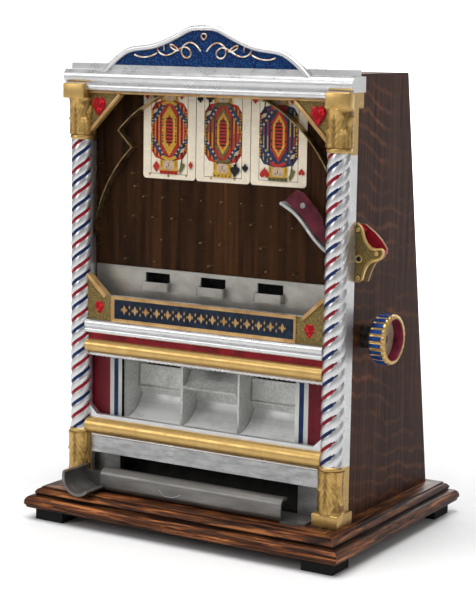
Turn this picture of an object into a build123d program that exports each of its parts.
from build123d import *
import os
from math import atan, cos, degrees, radians, sin

# Countertop coin game: an oak cabinet behind one painted aluminium front casting, with a pinned
# playfield above, three jackpot pockets below, and a side knob that works the payout.
# Millimetres. X to the right, Y to the back, Z up. The origin is on the floor under the base's centre.

# ---------------------------------------------------------------- driving dimensions
cabinet_width = 274.0       # over the side panels
base_width = cabinet_width + 53.0
base_depth = 252.0
base_thick = 20.0
foot_height = 11.0
foot_size = 30.0
foot_inset = 8.0
base_front_step = 46.5      # base's front edge to the casting's face

cabinet_height = 386.0      # base top to cabinet top
side_thick = 10.0
side_depth_bottom = 168.0
side_depth_top = 103.0
top_thick = 10.0
fit_gap = 0.3               # clearance of a board or plate between the side panels

casting_width = cabinet_width + 8.0
casting_thick = 5.0
casting_depth = 17.0
return_width = 13.0         # side return behind each column
header_rise = 3.0           # cornice's foot to the underside of its header
column_radius = 9.0
cornice_width = cabinet_width + 20.0
cornice_proud = 8.0
cornice_bottom = 402.0
cornice_top = 420.5
crest_height = 42.0
crest_half = 105.5
pedestal_low, pedestal_high = 42.0, 82.0
capital_low, capital_high = 352.0, 389.0
post_radius = 9.7           # core of the leafed pedestals and capitals
cap_front = 10.0            # cap blocks and foot blocks, ahead of the casting face
window_half = cabinet_width / 2 - 14.15
upper_window_bottom = 210.3
upper_window_top = 394.0
lower_window_bottom = 98.0
lower_window_top = 153.0
payout_top = 62.0
window_sill_low, window_sill_high = 79.6, 94.3      # half-round under the lower window
rope_low = 153.0            # rope strip over the lower window
bar_low, bar_high = 156.0, 169.0                    # half-round over the rope strip
double_low, double_high = 175.0, 186.5              # double moulding under the sign panel
band_proud = 1.5            # flat bands, ahead of the casting face
half_round_proud = 6.0
fillet_strip = 5.5          # thin ledge along the cornice's top
ledge_inset = 4.5           # the ledge is shorter than the cornice by this much at each end
window_splay = 17.1         # height of the upper window's cut lower corners
window_splay_top = 31.0
lower_splay = 8.5
payout_casting_half = cabinet_width / 2 - 17.5

glass_thick = 2.5
board_front = 18.0          # casting face to the playfield's face
board_thick = 6.0
board_bottom = 236.6
card_width = 55.6
card_height = 87.0
card_pitch = 56.3
card_centre = 7.9
card_bottom = 318.5
card_thick = 0.3
pin_radius = 0.6
pin_length = 7.5
rail_front = 8.5            # casting face to the front edge of the coin rails
arch_radius = 133.1
arch_centre_z = 270.6
arch_thick = 0.8
runway_thick = 2.2

pocket_pitch = 59.0
pocket_width = 26.0
slot_plate_bottom = 190.0
slot_plate_thick = 2.0
chute_wall = 1.0

entry_front = 17.0          # casting face to the coin entry's front plate
entry_plate = 3.0
entry_gap = 11.0            # coin passage between the entry's two plates
entry_slot_bottom = 264.0
entry_slot_top = 284.0

shaft_setback = 47.0        # casting face to the knob shaft's axis
shaft_z = 190.0
shaft_radius = 5.0
bush_wall = 3.0
run_clear = 0.05            # radial clearance of a running fit
knob_radius = 22.5
knob_length = 16.0
knob_standoff = 13.5        # side panel to the knob's back
knob_flutes = 18
collar_radius = 10.0

jackpot_half = 92.0
jackpot_sheet = 1.5
divider_thick = 2.0
divider_x = 30.0
jackpot_front = 12.0
jackpot_back = 38.0
jackpot_top = 156.0
floor_radius = 29.5         # inside radius of a tray's curved floor
floor_centre_z = 125.0
tray_sheet = 1.5
hinge_back = 43.0           # casting face to the tray rod
hinge_z = 117.5
rod_radius = 1.5
knuckle_radius = 3.0
tray_swing = 32.0
cam_radius = 11.5
cam_throw = 5.66
cam_thick = 5.0
cam_slack = 0.6
bar_thick = 3.0
bar_frame = 4.0
stem_width = 8.0
tail_reach = 14.5
gate_back = 35.5
gate_z = 152.0
gate_length = 30.0
gate_rod_radius = 1.2
gate_tilt = 42.0            # the middle gate stands forward by this many degrees

tray_lip_front = 21.0       # payout tray's lip, ahead of the casting face
tray_lip_half = 95.0
tray_floor_thick = 2.4
spout_x = -103.0
spout_radius = 16.3
spout_wall = 2.6
spout_front = 47.0
spout_sweep = 158.0         # the spout's wall turns through this many degrees
lip_top = 52.6
tray_right = 116.5

door_thick = 8.0
door_gap = 0.8
stop_width = 9.0
stop_depth = 6.0
lock_x = 106.0
lock_up = 190.0

# ---------------------------------------------------------------- values worked out from them
floor_z = foot_height + base_thick
cabinet_top_z = floor_z + cabinet_height
face_y = -base_depth / 2 + base_front_step
side_front_y = face_y + casting_depth
inner_half = cabinet_width / 2 - side_thick
panel_half = inner_half - fit_gap
shaft_y = face_y + shaft_setback
hinge_y = face_y + hinge_back
gate_y = face_y + gate_back
board_y = face_y + board_front
slope = degrees(atan((side_depth_bottom - side_depth_top) / cabinet_height))
pocket_xs = [-pocket_pitch, 0.0, pocket_pitch]
tray_names = ["left", "center", "right"]

os.makedirs("parts", exist_ok=True)


def save(piece, name):
    """Label a finished piece and write it as one STEP file."""
    piece.part.label = name
    export_step(piece.part, f"parts/{name}.step")


def block(low, high, mode=Mode.ADD):
    """Box between two opposite corners."""
    middle = tuple((a + b) / 2 for a, b in zip(low, high))
    with Locations(middle):
        Box(*[b - a for a, b in zip(low, high)], mode=mode)


def rod_x(x0, x1, y, z, radius, mode=Mode.ADD):
    """Round bar along X."""
    with Locations(Location(((x0 + x1) / 2, y, z), (0, 90, 0))):
        Cylinder(radius, x1 - x0, mode=mode)


def rod_y(x, y0, y1, z, radius, mode=Mode.ADD):
    """Round bar along Y."""
    with Locations(Location((x, (y0 + y1) / 2, z), (90, 0, 0))):
        Cylinder(radius, y1 - y0, mode=mode)


def front_plane(y):
    """Sketch plane seen from the front; an extrusion from it comes towards the player."""
    return Plane.XZ.offset(-y)


def back_y(z):
    """Y of the cabinet's sloping back at height z."""
    rise = (z - floor_z) / cabinet_height
    return side_front_y + side_depth_bottom - (side_depth_bottom - side_depth_top) * rise


# ---------------------------------------------------------------- base: moulded oak plinth on four feet
step_inset = 5.5
lower_thick = base_thick * 0.6
with BuildPart() as base_plinth:
    block((-base_width / 2, -base_depth / 2, foot_height),
          (base_width / 2, base_depth / 2, foot_height + lower_thick))
    fillet(base_plinth.faces().sort_by(Axis.Z)[-1].edges(), 5.0)
    chamfer(base_plinth.faces().sort_by(Axis.Z)[0].edges(), 2.0)
    block((-base_width / 2 + step_inset, -base_depth / 2 + step_inset, foot_height + 2.0),
          (base_width / 2 - step_inset, base_depth / 2 - step_inset, floor_z))
    chamfer(base_plinth.faces().sort_by(Axis.Z)[-1].edges(), 5.0, 4.0)
save(base_plinth, "base_plinth")

foot_x = base_width / 2 - foot_inset - foot_size / 2
foot_y = base_depth / 2 - foot_inset - foot_size / 2
with BuildPart() as base_feet:
    for x in (-foot_x, foot_x):
        for y in (-foot_y, foot_y):
            block((x - foot_size / 2, y - foot_size / 2, 0),
                  (x + foot_size / 2, y + foot_size / 2, foot_height))
save(base_feet, "base_feet")

# ---------------------------------------------------------------- cabinet: side panels, top and cleats
bush_radius = shaft_radius + run_clear + bush_wall
slot_front_y = face_y + entry_front + entry_plate
for sign, name in ((-1, "side_panel_left"), (1, "side_panel_right")):
    with BuildPart() as side_panel:
        with BuildSketch(Plane.YZ.offset(sign * (inner_half + side_thick / 2))):
            with BuildLine():
                Polyline((side_front_y, floor_z), (back_y(floor_z), floor_z),
                         (back_y(cabinet_top_z), cabinet_top_z), (side_front_y, cabinet_top_z),
                         close=True)
            make_face()
        extrude(amount=side_thick / 2, both=True)
        rod_x(sign * inner_half - side_thick * 2, sign * inner_half + side_thick * 2,
              shaft_y, shaft_z, bush_radius, mode=Mode.SUBTRACT)
        if sign > 0:
            block((inner_half - 1, slot_front_y, entry_slot_bottom),
                  (cabinet_width, slot_front_y + entry_gap, entry_slot_top), mode=Mode.SUBTRACT)
    save(side_panel, name)

with BuildPart() as top_board:
    block((-inner_half, side_front_y, cabinet_top_z - top_thick),
          (inner_half, back_y(cabinet_top_z), cabinet_top_z))
save(top_board, "top_board")

cleat = 10.0
board_back_y = board_y + board_thick
with BuildPart() as board_cleats:
    for sign in (-1, 1):
        for low_z, high_z in ((200.0, entry_slot_bottom - 10.0),
                              (entry_slot_top + 20.0, cabinet_top_z - top_thick)):
            x_in, x_out = sorted((sign * (inner_half - cleat), sign * inner_half))
            block((x_in, board_back_y, low_z), (x_out, board_back_y + cleat, high_z))
save(board_cleats, "board_cleats")

# ---------------------------------------------------------------- front casting
# One aluminium casting: columns, capitals, cornice, crest, mouldings and both window frames.


def moulding(z0, z1, proud, half):
    """Half-round bar across the casting's face."""
    with BuildSketch(Plane.YZ.offset(-half)) as profile:
        with BuildLine():
            Line((face_y + 1, z0), (face_y, z0))
            ThreePointArc((face_y, z0), (face_y - proud, (z0 + z1) / 2), (face_y, z1))
            Line((face_y, z1), (face_y + 1, z1))
            Line((face_y + 1, z1), (face_y + 1, z0))
        make_face()
    extrude(profile.sketch, amount=2 * half)


column_x = casting_width / 2 - column_radius
with BuildPart() as front_casting:
    block((-casting_width / 2, face_y, floor_z),
          (casting_width / 2, side_front_y, cornice_bottom + header_rise + 2))
    # windows and the payout mouth
    with BuildSketch(front_plane(side_front_y)):
        with BuildLine():
            low_half, high_half = window_half - 19.05, window_half - 30.35
            Polyline((-low_half, upper_window_bottom), (low_half, upper_window_bottom),
                     (window_half, upper_window_bottom + window_splay),
                     (window_half, upper_window_top - window_splay_top),
                     (high_half, upper_window_top), (-high_half, upper_window_top),
                     (-window_half, upper_window_top - window_splay_top),
                     (-window_half, upper_window_bottom + window_splay), close=True)
        make_face()
        with BuildLine():
            sill_half = window_half - 8.85
            Polyline((-sill_half, lower_window_bottom), (sill_half, lower_window_bottom),
                     (window_half, lower_window_bottom + lower_splay), (window_half, lower_window_top),
                     (-window_half, lower_window_top), (-window_half, lower_window_bottom + lower_splay),
                     close=True)
        make_face()
    extrude(amount=casting_depth + 1, mode=Mode.SUBTRACT)
    block((-payout_casting_half, face_y - 1, floor_z - 1),
          (payout_casting_half, side_front_y + 1, payout_top), mode=Mode.SUBTRACT)
    # columns, their feet and capitals
    for sign in (-1, 1):
        with Locations((sign * column_x, face_y + 1, (pedestal_high + capital_low) / 2)):
            Cylinder(column_radius, capital_low - pedestal_high)
        x_in, x_out = sorted((sign * (column_x - 12.5), sign * (column_x + 12.4)))
        block((x_in, face_y - cap_front, floor_z), (x_out, side_front_y, pedestal_low))
        for low_z, high_z in ((pedestal_low, pedestal_high), (capital_low, capital_high)):
            with Locations((sign * column_x, face_y + 1, (low_z + high_z) / 2)):
                Cylinder(post_radius, high_z - low_z)
        x_in, x_out = sorted((sign * (column_x - 8.6), sign * (column_x + 13.5)))
        block((x_in, face_y - cap_front, capital_high), (x_out, side_front_y, cornice_bottom))
    # the shell is open behind, between the side returns and below the header
    block((-casting_width / 2 + return_width, face_y + casting_thick, floor_z - 1),
          (casting_width / 2 - return_width, side_front_y + 1, cornice_bottom + header_rise),
          mode=Mode.SUBTRACT)
    # horizontal mouldings from the bottom up
    inner = column_x - column_radius + 1
    moulding(window_sill_low, window_sill_high, half_round_proud, inner)
    moulding(rope_low, bar_low, band_proud, inner)
    moulding(bar_low, bar_high, half_round_proud, inner)
    block((-inner, face_y - band_proud, bar_high), (inner, face_y + 1, double_low))
    moulding(double_low, double_high, half_round_proud - 1, inner)
    block((-inner, face_y - 2, double_high), (inner, face_y + 1, upper_window_bottom))
    moulding(upper_window_top + 2.5, cornice_bottom, half_round_proud, inner)
    # cornice and crest
    block((-cornice_width / 2, face_y - cornice_proud + 3, cornice_bottom),
          (cornice_width / 2, face_y + casting_thick, cornice_top - fillet_strip))
    block((-cornice_width / 2, face_y, cornice_bottom + header_rise),
          (cornice_width / 2, side_front_y, cornice_top - fillet_strip))
    for sign in (-1, 1):
        x_in, x_out = sorted((sign * (casting_width / 2 - return_width), sign * cornice_width / 2))
        block((x_in, face_y, cornice_bottom), (x_out, side_front_y, cornice_top - fillet_strip))
    moulding(cornice_bottom, cornice_top - fillet_strip, cornice_proud, cornice_width / 2)
    block((-cornice_width / 2 + ledge_inset, face_y - 1, cornice_top - fillet_strip - 1),
          (cornice_width / 2 - ledge_inset, side_front_y, cornice_top))
    with BuildSketch(front_plane(face_y + casting_thick)):
        with BuildLine():
            crest_foot = cornice_top - 6.5
            rise = crest_height / 42.0
            side = Spline((crest_half, crest_foot), (95.5, crest_foot + 10.7 * rise),
                          (79.5, crest_foot + 20.9 * rise), (57, crest_foot + 24.1 * rise),
                          (38.5, crest_foot + 29.6 * rise), (19, crest_foot + 38.6 * rise),
                          (0, crest_foot + crest_height - 0.4),
                          tangents=((-0.35, 1), (-1, 0)))
            mirror(side, about=Plane.YZ)
            Line((-crest_half, crest_foot), (crest_half, crest_foot))
        make_face()
    extrude(amount=casting_thick + 3)
save(front_casting, "front_casting")

# ---------------------------------------------------------------- glass behind the two windows
glass_y = face_y + casting_thick
glass_half = window_half + 3.7
upper_glass_bottom = 181.0
with BuildPart() as upper_glass:
    block((-glass_half, glass_y, upper_glass_bottom),
          (glass_half, glass_y + glass_thick, cornice_bottom - 4.2))
save(upper_glass, "upper_glass")

lower_glass_low, lower_glass_high = 77.0, 158.0
with BuildPart() as lower_glass:
    block((-glass_half, glass_y, lower_glass_low),
          (glass_half, glass_y + glass_thick, lower_glass_high))
save(lower_glass, "lower_glass")

clip_half = 4.0
clip_lap = 4.0
clip_foot = 8.0
with BuildPart() as glass_clips:
    for x in (-80, 80):
        for edge, side in ((upper_glass_bottom, -1), (lower_glass_high, 1), (lower_glass_low, -1)):
            near = edge + side * fit_gap
            far = near + side * clip_foot
            low_z, high_z = sorted((near, far))
            block((x - clip_half, glass_y, low_z), (x + clip_half, glass_y + glass_thick, high_z))
            low_z, high_z = sorted((edge - side * clip_lap, far))
            block((x - clip_half, glass_y + glass_thick, low_z),
                  (x + clip_half, glass_y + glass_thick + 1.5, high_z))
save(glass_clips, "glass_clips")

bracket_sheet = 1.5
bracket_height = 8.0
payout_plate_top = lower_glass_low - bracket_height - 1.0
with BuildPart() as casting_brackets:
    for sign in (-1, 1):
        for low_z in (payout_plate_top + fit_gap, lower_glass_high + 5.0):
            x_in, x_out = sorted((sign * (inner_half - 15), sign * inner_half))
            block((x_in, glass_y, low_z), (x_out, glass_y + bracket_sheet, low_z + bracket_height))
            x_in, x_out = sorted((sign * (inner_half - bracket_sheet), sign * inner_half))
            block((x_in, glass_y, low_z), (x_out, side_front_y + 20, low_z + bracket_height))
save(casting_brackets, "casting_brackets")

# ---------------------------------------------------------------- playfield: board, pins, rails and cards
entry_notch_x = inner_half - 15.0
with BuildPart() as playfield_board:
    block((-panel_half, board_y, board_bottom),
          (panel_half, board_back_y, cabinet_top_z - top_thick - fit_gap))
    block((entry_notch_x, board_y - 1, entry_slot_bottom - 2),
          (panel_half + 1, board_back_y + 1, entry_slot_top + 2), mode=Mode.SUBTRACT)
save(playfield_board, "playfield_board")

pin_rows = [(302.0, -71.5, 20.6, 7), (284.0, -82.0, 20.6, 9), (264.3, -91.0, 39.5, 2),
            (264.3, -10.5, 20.6, 2), (264.3, 52.0, 19.5, 2), (244.0, -91.0, 32.0, 2),
            (244.0, -1.5, 59.0, 2), (311.0, -81.0, 1.0, 1), (322.5, -84.0, 1.0, 1),
            (329.5, -120.5, 1.0, 1), (255.0, -121.5, 1.0, 1), (244.0, 85.5, 1.0, 1)]
with BuildPart() as playfield_pins:
    for pin_z, first_x, pitch, count in pin_rows:
        for n in range(count):
            rod_y(first_x + n * pitch, board_y - pin_length, board_y, pin_z, pin_radius)
save(playfield_pins, "playfield_pins")


def arch_point(angle, radius=arch_radius):
    """Point of the arch rail at an angle from +X."""
    return radius * cos(radians(angle)), arch_centre_z + radius * sin(radians(angle))


rail_seat = card_thick       # the rails stand this far off the board, over the cards
rail_depth = board_front - rail_front - rail_seat
arch_start = 19.0
arch_notch = 137.5
lower_start = (-83.2, 345.8)
lower_end = (-125.0, 262.0)
with BuildPart() as arch_rail:
    with BuildSketch(front_plane(board_y - rail_seat)):
        with BuildLine():
            ThreePointArc(arch_point(arch_start), arch_point((arch_start + arch_notch) / 2),
                          arch_point(arch_notch))
            Line(arch_point(arch_notch), lower_start)
            ThreePointArc(lower_start, (-111.3, 308.5), lower_end)
        trace(line_width=arch_thick)
    extrude(amount=rail_depth)
save(arch_rail, "arch_rail")

runway_points = [(71.5, 305.4), (85.3, 297.4), (102.4, 279.6), (119.0, 265.4)]
with BuildPart() as coin_runway:
    with BuildSketch(front_plane(board_y - rail_seat)):
        with BuildLine():
            Spline(*runway_points, tangents=((1, -0.55), (1, -0.6)))
        trace(line_width=runway_thick)
    extrude(amount=rail_depth)
save(coin_runway, "coin_runway")

cover_y = face_y + rail_front + 2
with BuildPart() as runway_cover:
    with BuildSketch(front_plane(cover_y)) as cover_outline:
        with BuildLine():
            Polyline((76.5, 307.4), (86.5, 317.5), (95.5, 314.5), (113.4, 295.5), (114.5, 289.0),
                     (120.5, 275.0), (120.5, 268.5), (104.8, 281.0), (95.5, 292.2), (87.3, 299.8),
                     close=True)
        make_face()
        fillet(cover_outline.vertices().sort_by(Axis.Y)[-2:], 4.0)
    extrude(amount=1.2)
save(runway_cover, "runway_cover")

cover_screw = (94.0, 304.4)
with BuildPart() as runway_post:
    rod_y(cover_screw[0], cover_y, board_y, cover_screw[1], 3.2)
save(runway_post, "runway_post")

with BuildPart() as runway_screw:
    rod_y(cover_screw[0], cover_y - 2.4, cover_y - 1.2, cover_screw[1], 2.6)
    fillet(runway_screw.edges().group_by(Axis.Y)[0], 0.8)
save(runway_screw, "runway_screw")

for n, side in enumerate(tray_names):
    with BuildPart() as card:
        with BuildSketch(front_plane(board_y)):
            with Locations((card_centre + (n - 1) * card_pitch, card_bottom + card_height / 2)):
                RectangleRounded(card_width, card_height, 3.2)
        extrude(amount=card_thick)
    save(card, f"card_{side}")

# ---------------------------------------------------------------- slot plate, scoops and coin chutes
slot_y = face_y + casting_depth
scoop_front = face_y + 10.8
scoop_wall = 1.3
scoop_low, scoop_lip = 216.5, 224.5
window_low, window_high = scoop_low + scoop_wall, 232.5
with BuildPart() as slot_plate:
    block((-panel_half, slot_y, slot_plate_bottom),
          (panel_half, slot_y + slot_plate_thick, board_bottom - fit_gap))
    for sign in (-1, 1):
        x_in, x_out = sorted((sign * (panel_half - 1.5), sign * panel_half))
        block((x_in, slot_y, 200.0), (x_out, board_back_y, board_bottom - fit_gap))
    for x in pocket_xs:
        wide = pocket_width / 2 + scoop_wall
        with BuildSketch(Plane.XY.offset(scoop_low)) as scoop_plan:
            with Locations((x, (scoop_front + slot_y) / 2)):
                Rectangle(2 * wide, slot_y - scoop_front)
            fillet(scoop_plan.vertices().group_by(Axis.Y)[0], 2.5)
        extrude(amount=scoop_lip - scoop_low)
        block((x - pocket_width / 2, scoop_front + scoop_wall, window_low),
              (x + pocket_width / 2, slot_y, scoop_lip + 1), mode=Mode.SUBTRACT)
        block((x - pocket_width / 2, slot_y - 1, window_low),
              (x + pocket_width / 2, slot_y + slot_plate_thick + 1, window_high),
              mode=Mode.SUBTRACT)
save(slot_plate, "slot_plate")

chute_y0 = slot_y + slot_plate_thick
chute_depth = 14.5
chute_low = jackpot_top + 1.0
chute_top = board_bottom - 2.0
with BuildPart() as coin_chutes:
    for x in pocket_xs:
        half = pocket_width / 2 + 2
        block((x - half, chute_y0, chute_low), (x + half, chute_y0 + chute_depth, chute_top))
        block((x - half + chute_wall, chute_y0 + chute_wall, chute_low - 1),
              (x + half - chute_wall, chute_y0 + chute_depth - chute_wall, chute_top - chute_wall),
              mode=Mode.SUBTRACT)
        block((x - pocket_width / 2, chute_y0 - 1, window_low),
              (x + pocket_width / 2, chute_y0 + 2, window_high), mode=Mode.SUBTRACT)
save(coin_chutes, "coin_chutes")

# ---------------------------------------------------------------- coin entry on the right side panel
entry_x = cabinet_width / 2
front_outline = [(0, 241.8), (0, 292.6), (5.0, 293.0), (10.2, 286.8), (15.3, 275.0), (21.6, 271.4),
                 (28.6, 272.9), (30.6, 267.6), (26.6, 261.4), (19.5, 259.4), (13.8, 253.4),
                 (11.6, 244.8), (7.8, 241.2)]
rear_outline = [(0, 241.8), (0, 290.0), (5.5, 290.0), (14.5, 284.0), (21.5, 277.5), (26.8, 270.0),
                (24.0, 263.0), (16.0, 257.0), (12.5, 250.0), (9.5, 241.0)]
mouth_floor = [(27.6, 268.0), (18.0, 261.0), (12.0, 258.0), (1.3, 256.5)]
mouth_lip = [(1.3, 288.5), (8.0, 284.5)]
entry_y0 = face_y + entry_front
with BuildPart() as coin_entry_front:
    with BuildSketch(front_plane(entry_y0 + entry_plate)) as entry_face:
        with BuildLine():
            Polyline(*[(entry_x + dx, z) for dx, z in front_outline], close=True)
        make_face()
        fillet(entry_face.vertices().group_by(Axis.X)[-1], 1.5)
    extrude(amount=entry_plate)
    rod_y(entry_x + 6.9, entry_y0 - 1, entry_y0 + entry_plate + 1, 261.6, 2.6, mode=Mode.SUBTRACT)
save(coin_entry_front, "coin_entry_front")

rear_y = entry_y0 + entry_plate + entry_gap
with BuildPart() as coin_entry_rear:
    with BuildSketch(front_plane(rear_y + entry_plate)):
        with BuildLine():
            Polyline(*[(entry_x + dx, z) for dx, z in rear_outline], close=True)
        make_face()
    extrude(amount=entry_plate)
    # floor and upper lip of the coin mouth, cast on the rear plate
    with BuildSketch(front_plane(rear_y)):
        with BuildLine():
            Polyline(*[(entry_x + dx, z) for dx, z in mouth_floor])
        trace(line_width=2.4)
        with BuildLine():
            Polyline(*[(entry_x + dx, z) for dx, z in mouth_lip])
        trace(line_width=2.4)
    extrude(amount=entry_gap)
save(coin_entry_rear, "coin_entry_rear")

entry_screw_points = [(6.3, 286.6), (7.4, 245.5), (24.6, 267.4)]
with BuildPart() as coin_entry_screws:
    for dx, z in entry_screw_points:
        rod_y(entry_x + dx, entry_y0 - 1.4, entry_y0, z, 1.9)
        fillet(coin_entry_screws.edges().filter_by(GeomType.CIRCLE).group_by(Axis.Y)[0], 0.5)
save(coin_entry_screws, "coin_entry_screws")

# ---------------------------------------------------------------- payout mouth plate and tray
payout_plate_y = face_y + 10.0
payout_half = 94.7
with BuildPart() as payout_plate:
    block((-panel_half, payout_plate_y, floor_z),
          (panel_half, payout_plate_y + 2.0, payout_plate_top))
    block((-payout_half, payout_plate_y - 1, floor_z - 1),
          (payout_half, payout_plate_y + 3, payout_top - 2.5), mode=Mode.SUBTRACT)
save(payout_plate, "payout_plate")

tray_back_y = payout_plate_y - fit_gap
lip_front_y = face_y - tray_lip_front
tray_floor_top = floor_z + tray_floor_thick
spout_z = floor_z + spout_radius
with BuildPart() as payout_tray:
    block((spout_x, lip_front_y + 7, floor_z), (tray_lip_half, tray_back_y, tray_floor_top))
    # open right end of the floor, its front corner cut off
    with BuildSketch(Plane.XY.offset(floor_z)):
        with BuildLine():
            Polyline((tray_lip_half - 1, lip_front_y + 0.5), (tray_right - 5, lip_front_y + 0.5),
                     (tray_right, lip_front_y + 5.5), (tray_right, tray_back_y),
                     (tray_lip_half - 1, tray_back_y), close=True)
        make_face()
    extrude(amount=tray_floor_thick)
    # front lip: it turns up from the floor and rolls back over the trough
    with BuildSketch(Plane.YZ.offset(-tray_lip_half)) as lip_section:
        with BuildLine():
            Line((lip_front_y + 8, floor_z), (lip_front_y + 6.5, floor_z))
            ThreePointArc((lip_front_y + 6.5, floor_z), (lip_front_y + 1.9, floor_z + 1.9),
                          (lip_front_y, floor_z + 6.5))
            Line((lip_front_y, floor_z + 6.5), (lip_front_y, lip_top - 7))
            ThreePointArc((lip_front_y, lip_top - 7), (lip_front_y + 1.95, lip_top - 2),
                          (lip_front_y + 6.5, lip_top))
            Line((lip_front_y + 6.5, lip_top), (lip_front_y + 11.5, lip_top - 0.3))
            Line((lip_front_y + 11.5, lip_top - 0.3), (lip_front_y + 11.3, lip_top - 2.6))
            Line((lip_front_y + 11.3, lip_top - 2.6), (lip_front_y + 6.8, lip_top - 2.4))
            ThreePointArc((lip_front_y + 6.8, lip_top - 2.4), (lip_front_y + 3.7, lip_top - 3.9),
                          (lip_front_y + 2.4, lip_top - 7))
            Line((lip_front_y + 2.4, lip_top - 7), (lip_front_y + 2.4, floor_z + 6.6))
            ThreePointArc((lip_front_y + 2.4, floor_z + 6.6), (lip_front_y + 3.6, floor_z + 3.6),
                          (lip_front_y + 6.6, tray_floor_top))
            Line((lip_front_y + 6.6, tray_floor_top), (lip_front_y + 8, tray_floor_top))
            Line((lip_front_y + 8, tray_floor_top), (lip_front_y + 8, floor_z))
        make_face()
    extrude(amount=2 * tray_lip_half)
    # left end: a trough-shaped spout that reaches over the base's front edge
    with BuildSketch(front_plane(face_y - 11.0)):
        with BuildLine():
            arc_out = CenterArc((spout_x, spout_z), spout_radius, 160, spout_sweep)
            arc_in = CenterArc((spout_x, spout_z), spout_radius - spout_wall, 160, spout_sweep)
            Line(arc_out @ 0, arc_in @ 0)
            Line(arc_out @ 1, arc_in @ 1)
        make_face()
    extrude(amount=spout_front - 11.0)
    block((spout_x - spout_radius + 0.6, face_y - 13.0, floor_z + 8),
          (spout_x + 4.0, face_y - 11.0, floor_z + spout_radius))
    block((spout_x - 9.0, face_y - 13.0, floor_z + 2.4),
          (spout_x + 4.0, face_y - 11.0, floor_z + 9))
save(payout_tray, "payout_tray")

# ---------------------------------------------------------------- payout chute behind the mouth
chute_sheet = 1.2
chute_front_y = payout_plate_y + 2.4
chute_back_y = face_y + 62.0
chute_half = jackpot_half + 1.6
with BuildPart() as payout_chute:
    with BuildSketch(Plane.YZ.offset(-chute_half)):
        with BuildLine():
            Polyline((chute_front_y, floor_z), (chute_front_y + 8, floor_z), (chute_back_y, 73.0),
                     (chute_back_y, 73.0 + 1.7), (chute_front_y + 7.5, floor_z + chute_sheet),
                     (chute_front_y, floor_z + chute_sheet), close=True)
        make_face()
    extrude(amount=2 * chute_half)
    for sign in (-1, 1):
        x_in, x_out = sorted((sign * (chute_half - chute_sheet), sign * chute_half))
        with BuildSketch(Plane.YZ.offset(x_in)):
            with BuildLine():
                Polyline((chute_front_y, floor_z), (chute_front_y + 8, floor_z), (chute_back_y, 73),
                         (chute_back_y, 84), (hinge_y + 3, 95), (chute_front_y, 95), close=True)
            make_face()
        extrude(amount=x_out - x_in)
save(payout_chute, "payout_chute")

# ---------------------------------------------------------------- jackpot housing: ends, dividers, back wall
jack_y0 = face_y + jackpot_front
jack_back_y = face_y + jackpot_back
ear_back_y = hinge_y + 4.5
wall_low = 115.5
overflow_half, overflow_low, overflow_high = 24.0, 142.5, 147.5
plates = [(-jackpot_half, -jackpot_half + jackpot_sheet, 62.0, jack_y0 + 0.3),
          (-divider_x - divider_thick / 2, -divider_x + divider_thick / 2, 90.0, jack_y0 + 2),
          (divider_x - divider_thick / 2, divider_x + divider_thick / 2, 90.0, jack_y0 + 2),
          (jackpot_half - jackpot_sheet, jackpot_half, 62.0, jack_y0 + 0.3)]
with BuildPart() as jackpot_housing:
    for x0, x1, low_z, front in plates:
        block((x0, front, low_z), (x1, jack_back_y + jackpot_sheet, jackpot_top))
        block((x0, jack_back_y, hinge_z - 6), (x1, ear_back_y, hinge_z + 6))
    block((-jackpot_half, jack_back_y, wall_low),
          (jackpot_half, jack_back_y + jackpot_sheet, jackpot_top))
    for x in pocket_xs:
        block((x - overflow_half, jack_back_y - 1, overflow_low),
              (x + overflow_half, jack_back_y + 3, overflow_high), mode=Mode.SUBTRACT)
    rod_x(-jackpot_half - 1, jackpot_half + 1, hinge_y, hinge_z, rod_radius + run_clear,
          mode=Mode.SUBTRACT)
    rod_x(-jackpot_half - 1, jackpot_half + 1, gate_y, gate_z, gate_rod_radius + run_clear,
          mode=Mode.SUBTRACT)
save(jackpot_housing, "jackpot_housing")

with BuildPart() as tray_rod:
    rod_x(-jackpot_half - 3, jackpot_half + 3, hinge_y, hinge_z, rod_radius)
save(tray_rod, "tray_rod")

with BuildPart() as gate_rod:
    rod_x(-jackpot_half - 3, jackpot_half + 3, gate_y, gate_z, gate_rod_radius)
save(gate_rod, "gate_rod")

# ---------------------------------------------------------------- jackpot trays: curved floors hinged behind
tail_slope = -tray_swing / 2
tail_thick = 2.5
side_play = 0.5
spans = [(-jackpot_half + jackpot_sheet, -divider_x - divider_thick / 2),
         (-divider_x + divider_thick / 2, divider_x - divider_thick / 2),
         (divider_x + divider_thick / 2, jackpot_half - jackpot_sheet)]
for side, pocket_x, (span_low, span_high) in zip(tray_names, pocket_xs, spans):
    with BuildPart() as jackpot_tray:
        with BuildSketch(Plane.YZ.offset(span_low + side_play)):
            with BuildLine():
                arc_in = CenterArc((jack_y0, floor_centre_z), floor_radius, -90, 74)
                arc_out = CenterArc((jack_y0, floor_centre_z), floor_radius + tray_sheet, -90, 74)
                Line(arc_in @ 0, arc_out @ 0)
                Line(arc_in @ 1, arc_out @ 1)
            make_face()
        extrude(amount=span_high - span_low - 2 * side_play)
        rod_x(span_low + side_play, span_high - side_play, hinge_y, hinge_z, knuckle_radius)
        with BuildSketch(Plane.YZ.offset(pocket_x + 4)):
            with Locations(Location((hinge_y, hinge_z), tail_slope)):
                with Locations((tail_reach / 2 + 2, 0)):
                    Rectangle(tail_reach + 3, tail_thick)
        extrude(amount=7)
        rod_x(span_low, span_high, hinge_y, hinge_z, rod_radius + run_clear, mode=Mode.SUBTRACT)
    save(jackpot_tray, f"jackpot_tray_{side}")

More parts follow.
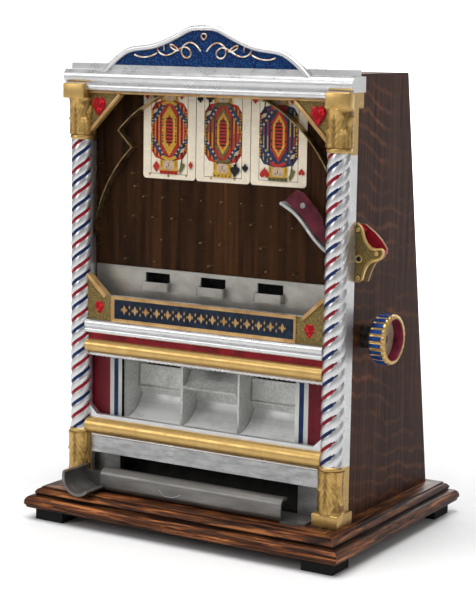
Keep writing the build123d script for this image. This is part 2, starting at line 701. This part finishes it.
# ---------------------------------------------------------------- gates: flaps hung over the back wall
gate_sheet = 1.0
gate_knuckle = 2.2
for side, (span_low, span_high) in zip(tray_names, spans):
    tilt = -gate_tilt if side == "center" else 0.0
    with BuildPart() as gate_flap:
        with BuildSketch(Plane.YZ.offset(span_low + 1)):
            with Locations(Location((gate_y, gate_z), tilt)):
                with Locations((0, -gate_length / 2)):
                    Rectangle(gate_sheet, gate_length)
                with Locations((-1.5, -gate_length)):
                    Rectangle(3.6, gate_sheet)
                Circle(gate_knuckle)
        extrude(amount=span_high - span_low - 2)
        rod_x(span_low, span_high, gate_y, gate_z, gate_rod_radius + run_clear,
              mode=Mode.SUBTRACT)
        if side != "center":    # slot in line with the overflow behind it
            block((span_low, gate_y - 2, overflow_low + 0.5),
                  (span_high - 7, gate_y + 2, overflow_high + 0.5), mode=Mode.SUBTRACT)
    save(gate_flap, f"gate_flap_{side}")

# ---------------------------------------------------------------- knob shaft, bushes, cams and lift bars
shaft_left = -cabinet_width / 2 + 2
knob_back_x = cabinet_width / 2 + knob_standoff
knob_face_x = knob_back_x + knob_length
cam_start = -45.0
cam_y = shaft_y + cam_throw * cos(radians(cam_start))
cam_z = shaft_z + cam_throw * sin(radians(cam_start))
knob_web = 6.0
with BuildPart() as drive_shaft:
    rod_x(shaft_left, knob_back_x + knob_web, shaft_y, shaft_z, shaft_radius)
save(drive_shaft, "drive_shaft")

flange = 2.0
with BuildPart() as shaft_bushes:
    for sign in (-1, 1):
        x_in, x_out = sorted((sign * inner_half, sign * cabinet_width / 2))
        rod_x(x_in, x_out, shaft_y, shaft_z, bush_radius)
        x_in, x_out = sorted((sign * (inner_half - flange), sign * inner_half))
        rod_x(x_in, x_out, shaft_y, shaft_z, bush_radius + 3)
        x_in, x_out = sorted((sign * (inner_half - flange - 1), sign * (cabinet_width / 2 + 1)))
        rod_x(x_in, x_out, shaft_y, shaft_z, shaft_radius + run_clear, mode=Mode.SUBTRACT)
save(shaft_bushes, "shaft_bushes")

with BuildPart() as drive_cams:
    for x in pocket_xs:
        rod_x(x - cam_thick / 2, x + cam_thick / 2, cam_y, cam_z, cam_radius)
        rod_x(x - cam_thick, x + cam_thick, shaft_y, shaft_z, shaft_radius, mode=Mode.SUBTRACT)
save(drive_cams, "drive_cams")

with BuildPart() as shaft_collar:
    rod_x(cabinet_width / 2 + fit_gap, knob_back_x, shaft_y, shaft_z, collar_radius)
    rod_x(cabinet_width / 2, knob_back_x + 1, shaft_y, shaft_z, shaft_radius, mode=Mode.SUBTRACT)
save(shaft_collar, "shaft_collar")

rim_wall = 4.5
with BuildPart() as knob:
    rod_x(knob_back_x, knob_face_x, shaft_y, shaft_z, knob_radius)
    fillet(knob.edges().group_by(Axis.X)[0], 1.5)
    rod_x(knob_back_x + knob_web, knob_face_x + 1, shaft_y, shaft_z, knob_radius - rim_wall,
          mode=Mode.SUBTRACT)
    rod_x(knob_back_x - 1, knob_face_x, shaft_y, shaft_z, shaft_radius, mode=Mode.SUBTRACT)
    for n in range(knob_flutes):
        turn = radians(360 / knob_flutes * n)
        rod_x(knob_back_x + 3, knob_face_x - 4, shaft_y + (knob_radius + 0.8) * cos(turn),
              shaft_z + (knob_radius + 0.8) * sin(turn), 2.3, mode=Mode.SUBTRACT)
save(knob, "knob")

with BuildPart() as knob_screw:
    rod_x(knob_back_x + knob_web, knob_back_x + knob_web + 2.0, shaft_y, shaft_z, 3.4)
    fillet(knob_screw.edges().group_by(Axis.X)[-1], 0.8)
save(knob_screw, "knob_screw")

lift = 2 * cam_throw * sin(radians(-cam_start))
window_half_z = cam_radius + cam_slack
window_y0 = cam_y - cam_radius - cam_slack
window_y1 = shaft_y + cam_throw + cam_radius + cam_slack
tail_gap = 0.85
tail_tip = radians(tail_slope)
foot_radius = 1.5
under = tail_thick / 2 + foot_radius + tail_gap
foot_y_mid = hinge_y + tail_reach * cos(tail_tip) + under * sin(tail_tip)
foot_z_mid = hinge_z + tail_reach * sin(tail_tip) - under * cos(tail_tip)
stem_top = 230.0
for side, pocket_x in zip(tray_names, pocket_xs):
    x0, x1 = pocket_x - bar_thick / 2, pocket_x + bar_thick / 2
    with BuildPart() as lift_bar:
        block((x0, window_y0 - bar_frame, cam_z - window_half_z - bar_frame),
              (x1, window_y1 + bar_frame, cam_z + window_half_z + bar_frame))
        block((x0 - 1, window_y0, cam_z - window_half_z), (x1 + 1, window_y1, cam_z + window_half_z),
              mode=Mode.SUBTRACT)
        block((x0, foot_y_mid - stem_width / 2, foot_z_mid - 3),
              (x1, foot_y_mid + stem_width / 2, cam_z - window_half_z - bar_frame / 2))
        block((x0, foot_y_mid - stem_width / 2, cam_z + window_half_z + bar_frame / 2),
              (x1, foot_y_mid + stem_width / 2, stem_top))
        rod_x(x0, pocket_x + 11, foot_y_mid, foot_z_mid, foot_radius)
    save(lift_bar, f"lift_bar_{side}")

guide_clear = 0.4
guide_y0, guide_y1 = face_y + 34.6, face_y + 72.0
with BuildPart() as lift_guides:
    for low_z in (159.0, 213.0):
        block((-inner_half, guide_y0, low_z), (inner_half, guide_y1, low_z + 2))
        for x in pocket_xs:
            block((x - bar_thick / 2 - guide_clear, foot_y_mid - stem_width / 2 - guide_clear,
                   low_z - 1),
                  (x + bar_thick / 2 + guide_clear, foot_y_mid + stem_width / 2 + guide_clear,
                   low_z + 3), mode=Mode.SUBTRACT)
save(lift_guides, "lift_guides")

spring_wire = 0.9
spring_turns = 7
spring_pitch = 2.4
spring_radius = shaft_radius + 2.2
spring_x = 95.0
with BuildPart() as return_spring:
    with BuildLine() as coil:
        Helix(spring_pitch, spring_pitch * spring_turns, spring_radius,
              center=(spring_x, shaft_y, shaft_z), direction=(1, 0, 0))
    with BuildSketch(Plane(origin=coil.line @ 0, z_dir=coil.line % 0)):
        Circle(spring_wire)
    sweep(is_frenet=True)
save(return_spring, "return_spring")

spring_stop_x = spring_x + spring_pitch * spring_turns + spring_wire
with BuildPart() as spring_anchor:
    rod_x(spring_stop_x + fit_gap, inner_half - flange - fit_gap, shaft_y, shaft_z,
          spring_radius + spring_wire)
    rod_x(spring_stop_x, inner_half - flange, shaft_y, shaft_z, shaft_radius, mode=Mode.SUBTRACT)
save(spring_anchor, "spring_anchor")

# ---------------------------------------------------------------- overflow chute and cash box
over_top = (jack_back_y + jackpot_sheet, 143.0)
over_end = (face_y + 88.0, 102.0)
over_sheet = 1.6
with BuildPart() as overflow_chute:
    with BuildSketch(Plane.YZ.offset(-jackpot_half + 2)):
        with BuildLine():
            Polyline(over_top, over_end, (over_end[0], over_end[1] - over_sheet),
                     (over_top[0], over_top[1] - over_sheet), close=True)
        make_face()
    extrude(amount=2 * jackpot_half - 4)
    for x in pocket_xs:
        block((x - 3, foot_y_mid - stem_width / 2 - 2, over_end[1]),
              (x + 3, foot_y_mid + stem_width / 2 + 2, over_top[1]), mode=Mode.SUBTRACT)
save(overflow_chute, "overflow_chute")

cash_half = 75.0
cash_front_y = face_y + 76.0
cash_back_y = face_y + 162.0
cash_top = 86.0
cash_wall = 1.2
with BuildPart() as cash_box:
    block((-cash_half, cash_front_y, floor_z), (cash_half, cash_back_y, cash_top))
    block((-cash_half + cash_wall, cash_front_y + cash_wall, floor_z + cash_wall),
          (cash_half - cash_wall, cash_back_y - cash_wall, cash_top + 1), mode=Mode.SUBTRACT)
save(cash_box, "cash_box")

# ---------------------------------------------------------------- back door, hinges and lock
# Door plane: origin at the foot of the sloping back, local X to the left, local Y up the slope,
# local Z out of the back.
tilt_rad = radians(slope)
out_dir = Vector(0, cos(tilt_rad), sin(tilt_rad))
door_plane = Plane(origin=(0, back_y(floor_z), floor_z), x_dir=(-1, 0, 0), z_dir=out_dir)
door_half = inner_half - door_gap
door_low = 3.0
door_high = (cabinet_top_z - top_thick - floor_z) / cos(tilt_rad) - 2.5


def on_door(x, up, out, turn=(0, 0, 0)):
    """Location in the door's own directions: row X, distance up the slope, distance out."""
    return door_plane.location * Location((-x, up, out), turn)


def door_block(x0, x1, up0, up1, out0, out1, mode=Mode.ADD):
    with Locations(on_door((x0 + x1) / 2, (up0 + up1) / 2, (out0 + out1) / 2)):
        Box(x1 - x0, up1 - up0, out1 - out0, mode=mode)


def door_rod(x, up0, up1, out, radius, mode=Mode.ADD):
    """Round bar that runs up the slope."""
    with Locations(on_door(x, (up0 + up1) / 2, out, (90, 0, 0))):
        Cylinder(radius, up1 - up0, mode=mode)


def door_disc(x, up, out0, out1, radius, mode=Mode.ADD):
    """Round bar that points out of the door."""
    with Locations(on_door(x, up, (out0 + out1) / 2)):
        Cylinder(radius, out1 - out0, mode=mode)


lock_barrel = 9.0
with BuildPart() as back_door:
    door_block(-door_half, door_half, door_low, door_high, -door_thick, 0)
    door_disc(lock_x, lock_up, -door_thick - 1, 1, lock_barrel, mode=Mode.SUBTRACT)
save(back_door, "back_door")

with BuildPart() as door_stops:
    for sign in (-1, 1):
        x_in, x_out = sorted((sign * (inner_half - stop_width), sign * inner_half))
        door_block(x_in, x_out, door_low + 2, door_high - 2, -door_thick - stop_depth, -door_thick)
save(door_stops, "door_stops")

hinge_x = -inner_half + door_gap / 2
pin_out = 2.4
knuckle = 2.1
hinge_pin = 1.0
hinge_ups = [60.0, 320.0]
hinge_length = 42.0
third = hinge_length / 3
leaf_thick = 0.9
leaf_play = 0.3
with BuildPart() as hinge_fixed_leaves:
    for up in hinge_ups:
        for low in (up, up + 2 * third):
            door_rod(hinge_x, low, low + third - leaf_play, pin_out, knuckle)
            door_block(hinge_x - 2.2, hinge_x, low, low + third - leaf_play, 0.5, 1.4)
        door_block(-cabinet_width / 2 + 0.5, hinge_x - 2.2, up, up + hinge_length - leaf_play,
                   0, leaf_thick + 0.5)
        door_rod(hinge_x, up - 1, up + hinge_length, pin_out, hinge_pin + run_clear,
                 mode=Mode.SUBTRACT)
save(hinge_fixed_leaves, "hinge_fixed_leaves")

with BuildPart() as hinge_door_leaves:
    for up in hinge_ups:
        low = up + third
        door_rod(hinge_x, low, low + third - leaf_play, pin_out, knuckle)
        door_block(hinge_x, hinge_x + 2.2, low, low + third - leaf_play, 0.5, 1.4)
        door_block(hinge_x + 2.2, hinge_x + 17, up, up + hinge_length - leaf_play,
                   0, leaf_thick + 0.5)
        door_rod(hinge_x, up - 1, up + hinge_length, pin_out, hinge_pin + run_clear,
                 mode=Mode.SUBTRACT)
save(hinge_door_leaves, "hinge_door_leaves")

with BuildPart() as hinge_pins:
    for up in hinge_ups:
        door_rod(hinge_x, up - 1.5, up + hinge_length + 1.0, pin_out, hinge_pin)
save(hinge_pins, "hinge_pins")

plug_radius = 5.0
barrel_deep = door_thick + stop_depth
with BuildPart() as lock_barrel_body:
    door_disc(lock_x, lock_up, -barrel_deep, 0, lock_barrel)
    door_disc(lock_x, lock_up, 0, 1.6, lock_barrel + 3)
    door_disc(lock_x, lock_up, -barrel_deep - 1, 3, plug_radius + run_clear, mode=Mode.SUBTRACT)
save(lock_barrel_body, "lock_barrel")

cam_reach = inner_half - lock_x - 1.5
with BuildPart() as lock_cam:
    door_disc(lock_x, lock_up, -barrel_deep - 2.0, 1.6, plug_radius)
    door_block(lock_x - 4, lock_x + 4, lock_up - 4, lock_up + cam_reach,
               -barrel_deep - 2.0, -barrel_deep - 0.4)
    door_block(lock_x - 0.5, lock_x + 0.5, lock_up - 3.2, lock_up + 3.2, 0.4, 2.0,
               mode=Mode.SUBTRACT)
save(lock_cam, "lock_cam")
